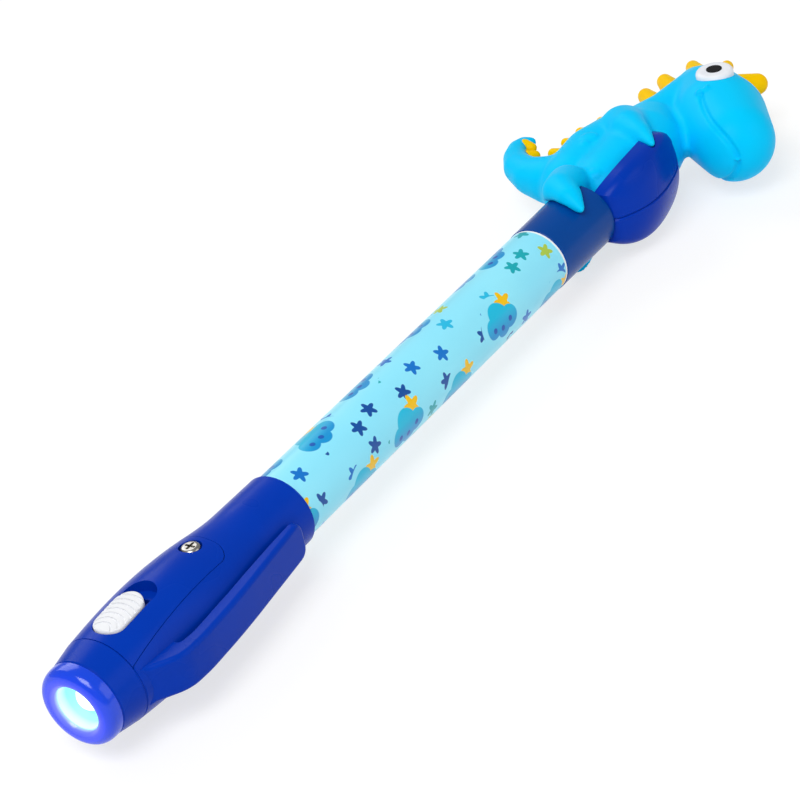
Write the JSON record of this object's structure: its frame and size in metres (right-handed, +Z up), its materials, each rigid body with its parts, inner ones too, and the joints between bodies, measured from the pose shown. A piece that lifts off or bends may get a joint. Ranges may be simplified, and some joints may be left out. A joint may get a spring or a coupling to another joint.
{
  "type": "uv invisible ink pen",
  "caption": "Invisible ink pen with a printed barrel, a pull-off torch cap with ultraviolet lamp, pocket clip, slide switch and screwed battery door, and a dinosaur topper.",
  "frame": {"origin": "on the pen's axis, midway along the printed barrel", "axes": "+X along the pen from the lamp to the topper, +Y towards the topper's back and away from the pocket clip, +Z up out of the battery door"},
  "size_m": [0.2051, 0.048, 0.0198],
  "materials": {
    "barrel_plastic": "white-blue moulded tube",
    "printed_film": "glossy printed shrink film",
    "nose_plastic": "smooth moulded plastic",
    "nib_fibre": "pressed fibre",
    "reservoir_fibre": "wrapped fibre rod",
    "navy_plastic": "gloss navy moulding",
    "royal_blue_plastic": "gloss royal blue moulding",
    "cyan_rubber": "soft satin cyan moulding",
    "yellow_rubber": "soft satin yellow moulding",
    "eye_white": "gloss white paint",
    "pupil_black": "gloss black paint",
    "bezel_blue": "gloss translucent blue moulding",
    "reflector_white": "bright reflector",
    "led_epoxy": "clear epoxy lens",
    "board_laminate": "circuit laminate",
    "contact_steel": "nickel-plated strip",
    "cell_steel": "nickel-plated cell can",
    "screw_nickel": "nickel-plated steel",
    "button_white": "satin off-white moulding"
  },
  "bodies": {
    "pen": {"barrel_tube": "barrel_plastic", "printed_sleeve": "printed_film", "nib_section": "nose_plastic", "felt_nib": "nib_fibre", "ink_reservoir": "reservoir_fibre", "tail_ferrule": "navy_plastic", "shell_left": "royal_blue_plastic", "shell_right": "royal_blue_plastic", "figure": "cyan_rubber", "spikes": "yellow_rubber", "eye_whites": "eye_white", "pupils": "pupil_black"},
    "torch_cap": {"cap_body": "royal_blue_plastic", "front_collar": "royal_blue_plastic", "lens_bezel": "bezel_blue", "reflector_cup": "reflector_white", "uv_led": "led_epoxy", "led_board": "board_laminate", "front_contact": "contact_steel", "button_cells": "cell_steel", "rear_contact": "contact_steel"},
    "door": {"battery_door": "royal_blue_plastic"},
    "screw": {"door_screw": "screw_nickel"},
    "slider": {"switch_button": "button_white", "switch_wiper": "contact_steel"}
  },
  "joints": [
    {"name": "cap_pull", "type": "slide", "parent": "pen", "child": "torch_cap", "axis": [-1, 0, 0], "range_m": [0, 0.03]},
    {"name": "door_lift", "type": "slide", "parent": "torch_cap", "child": "door", "axis": [0, 0, 1], "range_m": [0, 0.012]},
    {"name": "screw_turn", "type": "hinge", "parent": "door", "child": "screw", "pos_m": [-0.06, 0, 0.00675], "axis": [0, 0, 1], "continuous": true},
    {"name": "switch_slide", "type": "slide", "parent": "door", "child": "slider", "axis": [1, 0, 0], "range_m": [0, 0.003]}
  ]
}
